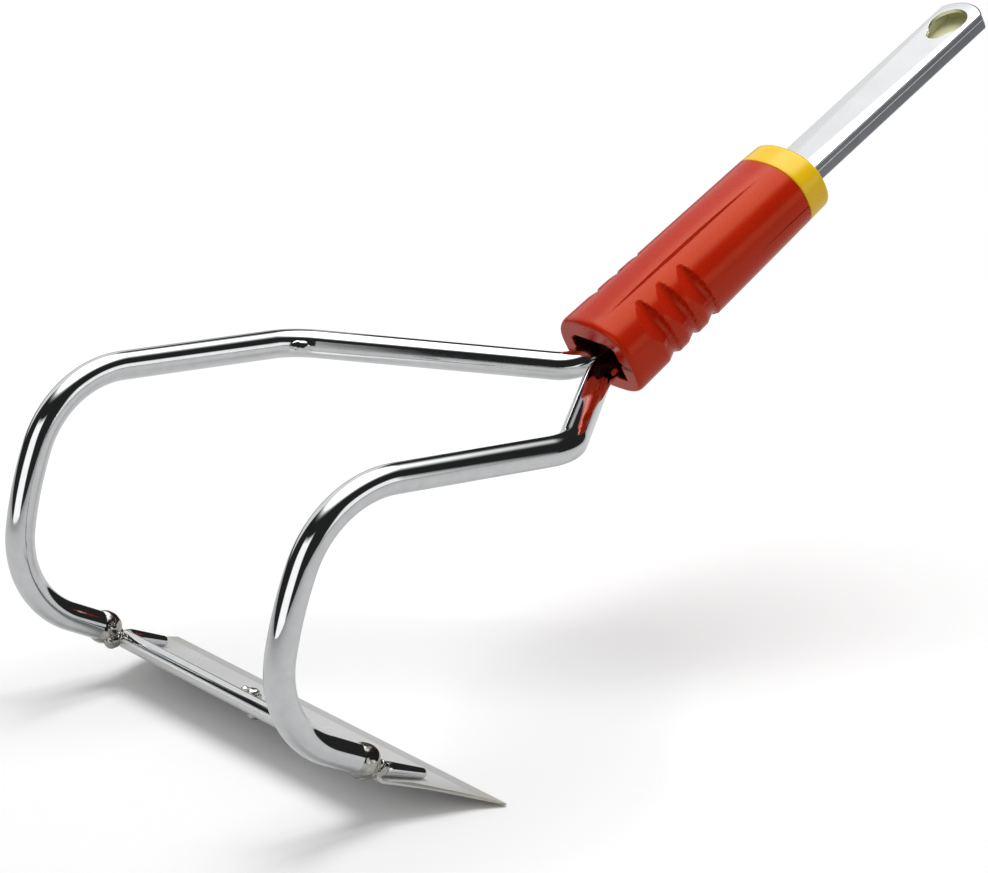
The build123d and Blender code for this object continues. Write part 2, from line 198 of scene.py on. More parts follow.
def new_material(name: str) -> tuple[bpy.types.Material, bpy.types.NodeTree, bpy.types.Node]:
    """Starts a node material.

    Args:
        name: the finish's name.

    Returns:
        The material, its emptied node tree and its Principled shader, linked to the output.
    """
    material = bpy.data.materials.new(name)
    material.use_nodes = True
    tree = material.node_tree
    tree.nodes.clear()
    shader = add_node(tree, "ShaderNodeBsdfPrincipled")
    add_node(tree, "ShaderNodeOutputMaterial", sockets={"Surface": shader.outputs["BSDF"]})
    return material, tree, shader


def grain(tree: bpy.types.NodeTree, size_mm: float, detail: float = 3.0,
          stretch: tuple[float, float, float] = (1, 1, 1)) -> bpy.types.NodeSocket:
    """Adds a noise pattern of a real size on Object coordinates.

    Args:
        tree: node tree that takes the nodes.
        size_mm: size of the pattern's grains.
        detail: octaves of the noise.
        stretch: how many times longer the grains are along X, Y and Z.

    Returns:
        The noise's value.
    """
    place = add_node(tree, "ShaderNodeTexCoord")
    scale = [1 / (size_mm * MM * s) for s in stretch]
    mapped = add_node(tree, "ShaderNodeMapping", sockets={"Vector": place.outputs["Object"], "Scale": scale})
    pattern = add_node(
        tree, "ShaderNodeTexNoise",
        sockets={"Vector": mapped.outputs["Vector"], "Scale": 1.0, "Detail": detail, "Roughness": 0.55},
    )
    return pattern.outputs["Fac"]


def remap(tree: bpy.types.NodeTree, value: bpy.types.NodeSocket, low: float, high: float,
          to_low: float, to_high: float) -> bpy.types.NodeSocket:
    """Adds a clamped linear remap and returns its result."""
    node = add_node(
        tree, "ShaderNodeMapRange",
        sockets={"Value": value, "From Min": low, "From Max": high, "To Min": to_low, "To Max": to_high},
    )
    return node.outputs["Result"]


def blend_colours(tree: bpy.types.NodeTree, share: bpy.types.NodeSocket,
                  first: tuple | bpy.types.NodeSocket, second: tuple) -> bpy.types.NodeSocket:
    """Adds a mix of two colours and returns its result."""
    node = add_node(tree, "ShaderNodeMix", {"data_type": "RGBA"}, {0: share, 6: first, 7: second})
    return node.outputs[2]


def bump(tree: bpy.types.NodeTree, height: bpy.types.NodeSocket, depth_mm: float,
         below: bpy.types.NodeSocket | None = None) -> bpy.types.NodeSocket:
    """Adds a bump of a real depth and returns its normal.

    Args:
        tree: node tree that takes the node.
        height: pattern from 0 to 1.
        depth_mm: height of the relief.
        below: normal of a coarser bump under this one.

    Returns:
        The bumped normal.
    """
    sockets = {"Height": height, "Distance": depth_mm * MM, "Strength": 1.0}
    if below is not None:
        sockets["Normal"] = below
    return add_node(tree, "ShaderNodeBump", sockets=sockets).outputs["Normal"]


@dataclass(frozen=True)
class BrightChrome:
    """Decorative chrome on drawn round steel: a hard mirror with a faint ripple from the drawing die."""

    name: str = "bright_chrome"
    colour: str = "#E9EBEC"
    worn: str = "#D3D5D6"
    ripple_mm: float = 9.0
    ripple_depth_mm: float = 0.005
    haze_mm: float = 3.0

    def build(self) -> bpy.types.Material:
        """Returns the chrome material."""
        material, tree, shader = new_material(self.name)
        haze = grain(tree, self.haze_mm)
        colour = blend_colours(tree, haze, linear(self.colour), linear(self.worn))
        tree.links.new(colour, shader.inputs["Base Color"])
        tree.links.new(remap(tree, haze, 0.35, 0.75, 0.03, 0.07), shader.inputs["Roughness"])
        ripple = bump(tree, grain(tree, self.ripple_mm, 1.0), self.ripple_depth_mm)
        tree.links.new(ripple, shader.inputs["Normal"])
        shader.inputs["Metallic"].default_value = 1.0
        return material


@dataclass(frozen=True)
class GroundSheet:
    """Plated sheet steel: rolling grain along the blade, and a ground band with cross scratches."""

    layout: Layout
    to_row: Matrix
    name: str = "plated_sheet_steel"
    colour: str = "#F0F0F0"
    shade: str = "#E2E2E1"
    ground: str = "#CFCFCF"
    warm: str = "#C8C3B4"
    band_start: float = 24.5
    tip_start: float = 58.0
    roll_grain_mm: float = 0.5
    scratch_mm: float = 0.35
    mottle_mm: float = 16.0
    metal: float = 0.3

    def build(self) -> bpy.types.Material:
        """Returns the blade's material."""
        material, tree, shader = new_material(self.name)
        back = (self.to_row @ self.layout.blade).inverted()
        place = add_node(tree, "ShaderNodeTexCoord").outputs["Object"]
        turn = back.to_quaternion().to_euler()
        local = add_node(
            tree, "ShaderNodeMapping",
            sockets={
                "Vector": place, "Location": back.translation, "Rotation": turn, "Scale": [1 / MM] * 3,
            },
        )
        axes = add_node(tree, "ShaderNodeSeparateXYZ", sockets={"Vector": local.outputs["Vector"]}).outputs
        band = remap(tree, axes["X"], self.band_start - 0.3, self.band_start + 0.3, 0.0, 1.0)
        side = add_node(tree, "ShaderNodeMath", {"operation": "ABSOLUTE"}, {0: axes["Y"]}).outputs[0]
        tip = remap(tree, side, self.tip_start, self.tip_start + 16, 0.0, 0.8)
        mottle = grain(tree, self.mottle_mm, 4.0, (1, 2.5, 1))
        rolled = grain(tree, self.roll_grain_mm, 3.0, (1, 24, 1))
        scratched = grain(tree, self.scratch_mm, 2.0, (18, 1, 18))
        colour = blend_colours(tree, mottle, linear(self.colour), linear(self.shade))
        colour = blend_colours(tree, band, colour, linear(self.ground))
        colour = blend_colours(tree, tip, colour, linear(self.warm))
        tree.links.new(colour, shader.inputs["Base Color"])
        relief = add_node(
            tree, "ShaderNodeMix", {"data_type": "FLOAT"}, {0: band, 2: rolled, 3: scratched}
        ).outputs[0]
        rough = add_node(
            tree, "ShaderNodeMix", {"data_type": "FLOAT"},
            {0: band, 2: remap(tree, mottle, 0.3, 0.7, 0.26, 0.36), 3: remap(tree, scratched, 0.3, 0.7, 0.3, 0.42)},
        ).outputs[0]
        tree.links.new(rough, shader.inputs["Roughness"])
        tree.links.new(bump(tree, relief, 0.004), shader.inputs["Normal"])
        shader.inputs["Metallic"].default_value = self.metal
        return material


@dataclass(frozen=True)
class MouldedPlastic:
    """Injection-moulded polypropylene: semi-gloss, with a fine spark-eroded grain and soft sink marks."""

    name: str
    colour: str
    shade: str
    roughness: float = 0.24
    grain_mm: float = 0.45
    grain_depth_mm: float = 0.003
    sink_mm: float = 14.0
    gloss: float = 0.5
    gloss_tint: str = "#FFFFFF"

    def build(self) -> bpy.types.Material:
        """Returns the plastic's material."""
        material, tree, shader = new_material(self.name)
        sink = grain(tree, self.sink_mm, 2.0)
        fine = grain(tree, self.grain_mm, 2.0)
        colour = blend_colours(tree, sink, linear(self.colour), linear(self.shade))
        tree.links.new(colour, shader.inputs["Base Color"])
        rough = remap(tree, fine, 0.3, 0.7, self.roughness - 0.05, self.roughness + 0.07)
        tree.links.new(rough, shader.inputs["Roughness"])
        waves = bump(tree, sink, 0.03)
        tree.links.new(bump(tree, fine, self.grain_depth_mm, waves), shader.inputs["Normal"])
        shader.inputs["IOR"].default_value = 1.49
        shader.inputs["Specular IOR Level"].default_value = self.gloss
        shader.inputs["Specular Tint"].default_value = linear(self.gloss_tint)
        return material


@dataclass(frozen=True)
class WeldMetal:
    """Weld bead under plating: a lumpy mirror with small pits and a faint heat tint."""

    name: str = "plated_weld"
    colour: str = "#C9C8C4"
    tint: str = "#8F8A7E"
    lump_mm: float = 1.6
    pit_mm: float = 0.5

    def build(self) -> bpy.types.Material:
        """Returns the weld's material."""
        material, tree, shader = new_material(self.name)
        lumps = grain(tree, self.lump_mm, 3.0)
        pits = grain(tree, self.pit_mm, 2.0)
        colour = blend_colours(tree, remap(tree, lumps, 0.35, 0.7, 0.0, 0.7), linear(self.colour), linear(self.tint))
        tree.links.new(colour, shader.inputs["Base Color"])
        tree.links.new(remap(tree, pits, 0.3, 0.7, 0.06, 0.2), shader.inputs["Roughness"])
        coarse = bump(tree, lumps, 0.06)
        tree.links.new(bump(tree, pits, 0.012, coarse), shader.inputs["Normal"])
        shader.inputs["Metallic"].default_value = 1.0
        return material


@dataclass(frozen=True)
class PlatedSheet:
    """Bright zinc on pressed sheet: a soft sheen with rolling grain and small handling marks."""

    name: str
    colour: str = "#DDE0E1"
    shade: str = "#C2C5C7"
    roughness: float = 0.22
    roll_mm: float = 0.6
    mark_mm: float = 5.0
    along: tuple[float, float, float] = (16, 1, 9)
    metal: float = 1.0

    def build(self) -> bpy.types.Material:
        """Returns the sheet's material."""
        material, tree, shader = new_material(self.name)
        rolled = grain(tree, self.roll_mm, 3.0, self.along)
        marks = grain(tree, self.mark_mm, 4.0)
        colour = blend_colours(tree, marks, linear(self.colour), linear(self.shade))
        tree.links.new(colour, shader.inputs["Base Color"])
        rough = remap(tree, marks, 0.3, 0.7, self.roughness - 0.02, self.roughness + 0.03)
        tree.links.new(rough, shader.inputs["Roughness"])
        tree.links.new(bump(tree, rolled, 0.003), shader.inputs["Normal"])
        shader.inputs["Metallic"].default_value = self.metal
        return material


@dataclass
class Workshop:
    """Turns finished meshes into pieces of the row."""

    to_row: Matrix

    def store(self, mesh: bmesh.types.BMesh, name: str, place: Matrix, material: bpy.types.Material,
              nodes: tuple[str, ...], slot: str, edge_mm: float = 0.0) -> bpy.types.Object:
        """Stores a mesh as a piece that replaces CAD nodes.

        Args:
            mesh: the finished mesh, in millimetres of its own frame.
            name: the piece's name.
            place: matrix of its frame.
            material: its finish.
            nodes: CAD nodes that it stands for.
            slot: material slot of the record; not used.
            edge_mm: width of the small bevel on its sharp edges, or 0 for none.

        Returns:
            The piece.
        """
        bmesh.ops.transform(mesh, matrix=self.to_row @ place, verts=mesh.verts)
        bmesh.ops.recalc_face_normals(mesh, faces=mesh.faces)
        for face in mesh.faces:
            face.smooth = True
        for edge in mesh.edges:
            edge.smooth = len(edge.link_faces) == 2 and edge.calc_face_angle(0.0) < SMOOTH_LIMIT
        data = bpy.data.meshes.new(name)
        mesh.to_mesh(data)
        mesh.free()
        data.materials.append(material)
        piece = bpy.data.objects.new(name, data)
        bpy.context.scene.collection.objects.link(piece)
        if edge_mm > 0:
            rounding = piece.modifiers.new("edge_rounding", "BEVEL")
            rounding.width = edge_mm * MM
            rounding.segments = 2
            rounding.limit_method = "ANGLE"
            rounding.angle_limit = math.radians(45)
            rounding.use_clamp_overlap = True
        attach(piece, "root")
        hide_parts(*nodes)
        log.info("%s: %d faces, replaces %s", name, len(data.polygons), ", ".join(nodes))
        return piece


@dataclass
class RodBender:
    """Bends a round rod step by step, from a circle of edges that it carries along."""

    radius: float
    position: Vector
    heading: Vector
    segments: int = 56
    step_degrees: float = 2.0
    mesh: bmesh.types.BMesh = field(init=False)
    rim: list = field(init=False)

    def __post_init__(self) -> None:
        """Starts the rod with a circle across its heading."""
        self.mesh = bmesh.new()
        self.heading = self.heading.normalized()
        turn = self.heading.to_track_quat("Z", "Y").to_matrix().to_4x4()
        start = Matrix.Translation(self.position) @ turn
        bmesh.ops.create_circle(
            self.mesh, cap_ends=False, segments=self.segments, radius=self.radius, matrix=start
        )
        self.rim = list(self.mesh.edges)

    def close(self) -> None:
        """Closes the open end with one face."""
        bmesh.ops.contextual_create(self.mesh, geom=self.rim)

    def straight(self, length: float, scale: float = 1.0) -> None:
        """Carries the rod straight on.

        Args:
            length: how far it goes.
            scale: its end radius over its start radius.
        """
        grown = bmesh.ops.extrude_edge_only(self.mesh, edges=self.rim)["geom"]
        points = [item for item in grown if isinstance(item, bmesh.types.BMVert)]
        self.rim = [
            item for item in grown
            if isinstance(item, bmesh.types.BMEdge) and all(v in points for v in item.verts)
        ]
        bmesh.ops.translate(self.mesh, vec=self.heading * length, verts=points)
        self.position = self.position + self.heading * length
        if scale != 1.0:
            centre = Matrix.Translation(self.position)
            bmesh.ops.transform(
                self.mesh, matrix=centre @ Matrix.Scale(scale, 4) @ centre.inverted(), verts=points
            )
            self.radius *= scale

    def turn(self, axis: Vector, degrees: float, radius: float) -> None:
        """Bends the rod round a former.

        Args:
            axis: direction that the bend turns about.
            degrees: how far it turns.
            radius: radius of the centreline.
        """
        axis = axis.normalized()
        centre = self.position + axis.cross(self.heading) * radius
        steps = max(3, round(degrees / self.step_degrees))
        grown = bmesh.ops.spin(
            self.mesh, geom=self.rim, cent=centre, axis=axis, angle=math.radians(degrees), steps=steps,
            use_merge=False, use_duplicate=False,
        )["geom_last"]
        self.rim = [item for item in grown if isinstance(item, bmesh.types.BMEdge)]
        rotation = Matrix.Rotation(math.radians(degrees), 3, axis)
        self.position = centre + rotation @ (self.position - centre)
        self.heading = rotation @ self.heading

    def turn_towards(self, heading: Vector, radius: float) -> None:
        """Bends the rod until it points along a new heading."""
        degrees = math.degrees(self.heading.angle(heading))
        self.turn(self.heading.cross(heading), degrees, radius)

    def dome(self, rows: int = 9) -> None:
        """Rounds the end into half a ball and closes it."""
        radius = self.radius
        angles = [math.radians(89 * row / rows) for row in range(rows + 1)]
        for before, after in zip(angles, angles[1:]):
            rise = radius * (math.sin(after) - math.sin(before))
            self.straight(rise, math.cos(after) / math.cos(before))
        self.close()


def bend_reach(before: Vector, after: Vector, radius: float) -> float:
    """Returns how much a bend takes from each of the two straights that it joins."""
    return radius * math.tan(before.angle(after) / 2)


@dataclass
class Bow:
    """The two chromed leg rods."""

    layout: Layout
    shop: Workshop
    finish: bpy.types.Material
    half_width: float = 61.5
    side_bend_radius: float = 17.9
    run_climb: float = 3.65
    run_length: float = 56.5
    lean: float = 1.26
    shoulder: tuple[float, float] = (28.6, 70.5)
    shin: tuple[float, float] = (98.3, 13.3)
    heel: tuple[float, float] = (27.0, 72.6)
    foot_length: float = 11.9
    mouth_reach: float = 4.6
    mouth_bend_radius: float = 14.0
    length_in_grip: float = 36.5
    axis_side: float = 4.1
    axis_height: float = -2.45
    bead_share: float = 0.42
    foot: Vector = field(init=False)
    bead_place: Matrix = field(init=False)

    def bend_leg(self) -> RodBender:
        """Bends the left leg from inside the grip to its foot.

        Returns:
            The bender with the finished rod.
        """
        start = self.layout.in_handle(self.axis_side, self.axis_height, self.length_in_grip)
        mouth = self.layout.in_handle(self.axis_side, self.axis_height, -self.mouth_reach)
        side = Vector((0, self.half_width, 0))
        lean = math.radians(self.lean)
        climb = math.radians(self.run_climb)
        upright = Vector((0, math.sin(lean), math.cos(lean)))
        run = Vector((math.cos(climb), 0, 0)) + upright * math.sin(climb)
        across = side - mouth
        rod = RodBender(self.layout.rod_radius, start, mouth - start)
        rod.close()
        mouth_share = bend_reach(mouth - start, across, self.mouth_bend_radius)
        side_share = bend_reach(across, run, self.side_bend_radius)
        rod.straight((mouth - start).length - mouth_share)
        rod.turn_towards(across, self.mouth_bend_radius)
        rod.straight(across.length - mouth_share - side_share)
        axis = rod.heading.cross(run).normalized()
        whole = math.degrees(rod.heading.angle(run))
        rod.turn(axis, whole * self.bead_share, self.side_bend_radius)
        self.bead_place = frame_matrix(rod.position, axis.cross(rod.heading), axis, rod.heading)
        rod.turn(axis, whole * (1 - self.bead_share), self.side_bend_radius)
        rod.straight(self.run_length - side_share)
        downward = Vector((0, math.cos(lean), -math.sin(lean)))
        for radius, degrees in (self.shoulder, self.shin, self.heel):
            rod.turn(downward, degrees, radius)
        rod.straight(self.foot_length)
        self.foot = rod.position.copy()
        rod.dome()
        return rod

    def build(self) -> None:
        """Builds both legs and hangs the blade frame on the left foot."""
        for side in Side:
            rod = self.bend_leg()
            place = Matrix.Diagonal((1, side.value, 1, 1))
            name = side.name.lower() + "_leg"
            self.shop.store(rod.mesh, name + "_rod", place, self.finish, (name,), "chrome_rod")
        self.layout.set_blade(self.foot)


@dataclass
class Blade:
    """The sheet blade with its rolled front edge, and the U-shaped rod that the roll wraps."""

    layout: Layout
    shop: Workshop
    finish: bpy.types.Material
    rod_finish: bpy.types.Material
    foot_side: float
    sheet: float = 1.0
    depth: float = 31.5
    cutting_half_width: float = 76.0
    shoulder_depth: float = 9.3
    curl_overhang: float = 3.5
    curl_wrap: float = 83.0
    curl_play: float = 0.05
    bevel_width: float = 7.0
    edge_land: float = 0.4
    tip_radius: float = 1.2
    tail_inset: float = 0.3
    tail_bend_radius: float = 3.4
    tail_length: float = 11.0
    tail_end_radius: float = 1.5
    curl_steps: int = 24
    rows_across: int = 40

    def roll_profile(self, mesh: bmesh.types.BMesh) -> list[bmesh.types.BMVert]:
        """Draws the sheet's side view at one end of the curl.

        Args:
            mesh: mesh that takes the profile.

        Returns:
            Its points in order, as a closed outline.
        """
        inner = self.layout.blade_rod_radius + self.curl_play
        outer = inner + self.sheet
        end = self.foot_side + self.curl_overhang
        wrap = math.radians(self.curl_wrap)

        def arc(radius: float, turns: range) -> list[Vector]:
            """Returns points round the blade rod, from the bottom towards the lip."""
            angles = [-math.pi / 2 - wrap * turn / self.curl_steps for turn in turns]
            return [Vector((radius * math.cos(a), end, radius * math.sin(a))) for a in angles]

        land_top = self.edge_land - outer
        flat_under = [Vector((x, end, -outer)) for x in (self.shoulder_depth, self.depth)]
        bevel_start = self.depth - self.bevel_width
        flat_top = [Vector((x, end, -inner)) for x in (bevel_start, self.shoulder_depth)]
        points = arc(inner, range(self.curl_steps + 1))
        points += arc(outer, range(self.curl_steps, -1, -1))
        points += flat_under + [Vector((self.depth, end, land_top))] + flat_top
        return [mesh.verts.new(point) for point in points]

    def build_sheet(self) -> None:
        """Builds the blade as an extruded profile whose ends are drawn out to the tips."""
        mesh = bmesh.new()
        outline = self.roll_profile(mesh)
        start = mesh.faces.new(outline)
        curl_half = self.foot_side + self.curl_overhang
        slope = (self.cutting_half_width - curl_half) / (self.depth - self.shoulder_depth)
        face = start
        for _ in range(self.rows_across):
            grown = bmesh.ops.extrude_face_region(mesh, geom=[face])["geom"]
            points = [item for item in grown if isinstance(item, bmesh.types.BMVert)]
            step = Vector((0, -2 * curl_half / self.rows_across, 0))
            bmesh.ops.translate(mesh, vec=step, verts=points)
            old, face = face, next(item for item in grown if isinstance(item, bmesh.types.BMFace))
            if old is not start:
                bmesh.ops.delete(mesh, geom=[old], context="FACES_ONLY")
        for point in mesh.verts:
            beyond = max(0.0, point.co.x - self.shoulder_depth) * slope
            point.co.y *= 1 + beyond / curl_half
        tips = [
            edge for edge in mesh.edges
            if all(abs(v.co.y) > self.cutting_half_width - 0.01 for v in edge.verts)
            and edge.verts[0].co.y * edge.verts[1].co.y > 0
        ]
        bmesh.ops.bevel(
            mesh, geom=tips, offset=self.tip_radius, offset_type="OFFSET", segments=5, profile=0.5,
            affect="EDGES", material=-1,
        )
        self.shop.store(
            mesh, "blade_sheet", self.layout.blade, self.finish, ("blade",), "blade_sheet", edge_mm=0.1
        )

    def build_rod(self) -> None:
        """Builds half of the blade rod from its middle and mirrors it."""
        side = self.foot_side - self.tail_inset
        rod = RodBender(self.layout.blade_rod_radius, Vector((0, 0, 0)), Vector((0, 1, 0)), 40)
        rod.straight(side - self.tail_bend_radius)
        rod.turn_towards(Vector((1, 0, 0)), self.tail_bend_radius)
        drop = self.tail_end_radius - self.layout.blade_rod_radius
        rod.heading = Vector((self.tail_length, 0, drop)).normalized()
        rod.straight(self.tail_length, self.tail_end_radius / self.layout.blade_rod_radius)
        rod.dome()
        mesh = rod.mesh
        bmesh.ops.mirror(mesh, geom=list(mesh.verts) + list(mesh.edges) + list(mesh.faces), axis="Y", merge_dist=1e-4)
        self.shop.store(
            mesh, "blade_rod_bar", self.layout.blade, self.rod_finish, ("blade_rod",), "blade_rod"
        )


@dataclass(frozen=True)
class Lump:
    """One lump of a weld bead, as a ball with its own radii and roughness."""

    place: tuple[float, float, float]
    radii: tuple[float, float, float]
    seed: float
    ruggedness: float = 0.16
    grain: float = 1.3

    def add(self, mesh: bmesh.types.BMesh) -> None:
        """Adds the lump to a mesh."""
        ball = bmesh.ops.create_icosphere(mesh, subdivisions=5, radius=1.0)["verts"]
        for point in ball:
            wave = noise.noise(point.co * self.grain + Vector((self.seed, 0, 0)))
            ripple = noise.noise(point.co * self.grain * 3 + Vector((0, self.seed, 0)))
            point.co *= 1 + self.ruggedness * (wave + 0.4 * ripple)
        size = Matrix.Diagonal((*self.radii, 1))
        bmesh.ops.transform(mesh, matrix=Matrix.Translation(self.place) @ size, verts=ball)


@dataclass
class Welds:
    """Weld beads of the feet, the blade and the side bends."""

    layout: Layout
    shop: Workshop
    bow: Bow
    weld: bpy.types.Material
    chrome: bpy.types.Material
    centre_side: float = 2.0

    def store(self, lumps: list[Lump], name: str, node: str, place: Matrix,
              finish: bpy.types.Material, slot: str) -> None:
        """Stores the lumps of one bead as one piece."""
        mesh = bmesh.new()
        for lump in lumps:
            lump.add(mesh)
        self.shop.store(mesh, name, place, finish, (node,), slot)

    def build(self) -> None:
        """Builds every bead."""
        bar = self.layout.blade.translation
        foot = self.bow.foot
        middle = (bar.x + 3.4, foot.y + 0.2, (bar.z + foot.z) / 2)
        toe = (bar.x + 4.7, foot.y - 2.6, (bar.z + foot.z) / 2 - 1)
        heel = (bar.x + 1.2, foot.y + 1.9, bar.z + 1.0)
        for side in Side:
            shift = 0.0 if side is Side.LEFT else 7.3
            lumps = [
                Lump(tuple(foot), (4.7, 4.8, 4.7), 2.9 + shift, 0.07, 1.1),
                Lump(middle, (3.5, 4.0, 3.6), 1.7 + shift, 0.22),
                Lump(toe, (2.8, 2.9, 2.7), 4.2 + shift, 0.22),
                Lump(heel, (2.4, 2.4, 2.1), 6.1 + shift, 0.2),
            ]
            name = side.name.lower() + "_foot_weld"
            self.store(lumps, name + "_bead", name, Matrix.Diagonal((1, side.value, 1, 1)), self.weld, "weld")
        centre = [
            Lump((3.0, self.centre_side - 1.2, 0.6), (2.5, 2.4, 2.5), 2.4, 0.2),
            Lump((3.1, self.centre_side + 1.9, 0.3), (2.2, 2.0, 2.1), 8.8, 0.22),
        ]
        self.store(centre, "centre_weld_bead", "centre_weld", self.layout.blade, self.weld, "weld")
        under = [Lump((0.0, -5.5, -2.35), (1.9, 2.0, 1.8), 3.3, 0.14)]
        self.store(under, "under_weld_bead", "under_weld", self.layout.blade, self.weld, "weld")
        for side in Side:
            bead = [Lump((2.75, 0.0, 0.0), (1.9, 1.9, 4.6), 5.5 + side.value, 0.12)]
            name = side.name.lower() + "_bend_bead"
            place = Matrix.Diagonal((1, side.value, 1, 1)) @ self.bow.bead_place
            self.store(bead, name + "_lump", name, place, self.chrome, "chrome_rod")


@dataclass
class GripShape:
    """The grip's outer surface as a formula: section, draft, nose, facet panel and finger grooves."""

    half_width: float = 14.9
    half_height: float = 11.6
    squareness: float = 2.4
    belly_height: float = 0.8
    belly_squareness: float = 1.2
    draft: float = 0.48
    length: float = 74.7
    nose_inset: float = 1.0
    nose_depth: float = 2.0
    facet_half_width: float = 5.0
    facet_front: float = 4.5
    facet_rear: float = 69.5
    facet_rise: float = 0.8
    riser_width: float = 0.45
    groove_first: float = 15.5
    groove_pitch: float = 8.3
    groove_count: int = 3
    groove_lean: float = 8.0
    floor_radius: float = 18.65
    floor_across: float = 5.0
    floor_up: float = -3.2
    floor_width: float = 1.5
    under_fade: tuple[float, float] = (7.0, 10.5)
    front_flare: float = 68.0
    rear_flare: float = 17.0

    def section(self, turn: float, back: float, inset: float = 0.0) -> tuple[float, float]:
        """Returns left and up of a point of the plain section.

        Args:
            turn: angle round the section, from the left side over the top.
            back: distance from the front face.
            inset: how far the section is drawn in.
        """
        drawn = back * math.tan(math.radians(self.draft)) + inset
        power = 2 / self.squareness
        height = self.half_height
        if math.sin(turn) < 0:
            front = 1 - back / self.length
            power = 2 / (self.squareness + self.belly_squareness * front)
            height += self.belly_height * front
        across = math.copysign(abs(math.cos(turn)) ** power, math.cos(turn))
        up = math.copysign(abs(math.sin(turn)) ** power, math.sin(turn))
        return (self.half_width - drawn) * across, (height - drawn) * up

    def raised(self, left: float, up: float, back: float) -> float:
        """Returns how far the facet panel lifts the top at a point."""
        middle = (self.facet_front + self.facet_rear) / 2
        reach = (self.facet_rear - self.facet_front) / 2
        along = 1 - ((back - middle) / reach) ** 2
        if up <= 0 or along <= 0:
            return 0.0
        inside = smooth_step(self.facet_half_width - abs(left), 0.0, self.riser_width)
        return self.facet_rise * along * inside

    def grooved(self, left: float, up: float, back: float) -> tuple[float, float]:
        """Pulls a point of the section in to the floor or wall of a finger groove.

        Args:
            left: place across.
            up: place up.
            back: distance from the front face.

        Returns:
            Left and up after the cut.
        """
        centre = math.copysign(self.floor_across, -left)
        reach = math.hypot(left - centre, up - self.floor_up)
        lean = (up - self.floor_up) * math.tan(math.radians(self.groove_lean))
        walls = []
        for number in range(self.groove_count):
            place = self.groove_first + self.groove_pitch * number
            offset = back - place + self.floor_up * math.tan(math.radians(self.groove_lean)) + lean
            flare = self.rear_flare if offset > 0 else self.front_flare
            beyond = max(0.0, abs(offset) - self.floor_width / 2)
            walls.append(beyond / math.tan(math.radians(flare)))
        deepest = self.half_width + self.floor_across - self.floor_radius
        if up < self.floor_up:
            fade = smooth_step(abs(left), *self.under_fade)
            cut = max(0.0, deepest * fade - min(walls))
        else:
            cut = max(0.0, reach - self.floor_radius - min(walls))
        share = 1 - cut / reach
        return centre + (left - centre) * share, self.floor_up + (up - self.floor_up) * share

    def skin(self, turn: float, back: float) -> tuple[float, float]:
        """Returns left and up of the finished outer surface."""
        inset = 0.0
        if back < self.nose_depth:
            share = 1 - back / self.nose_depth
            inset = self.nose_inset * (1 - math.sqrt(max(0.0, 1 - share * share)))
        left, up = self.section(turn, back, inset)
        up += self.raised(left, up, back)
        return self.grooved(left, up, back)


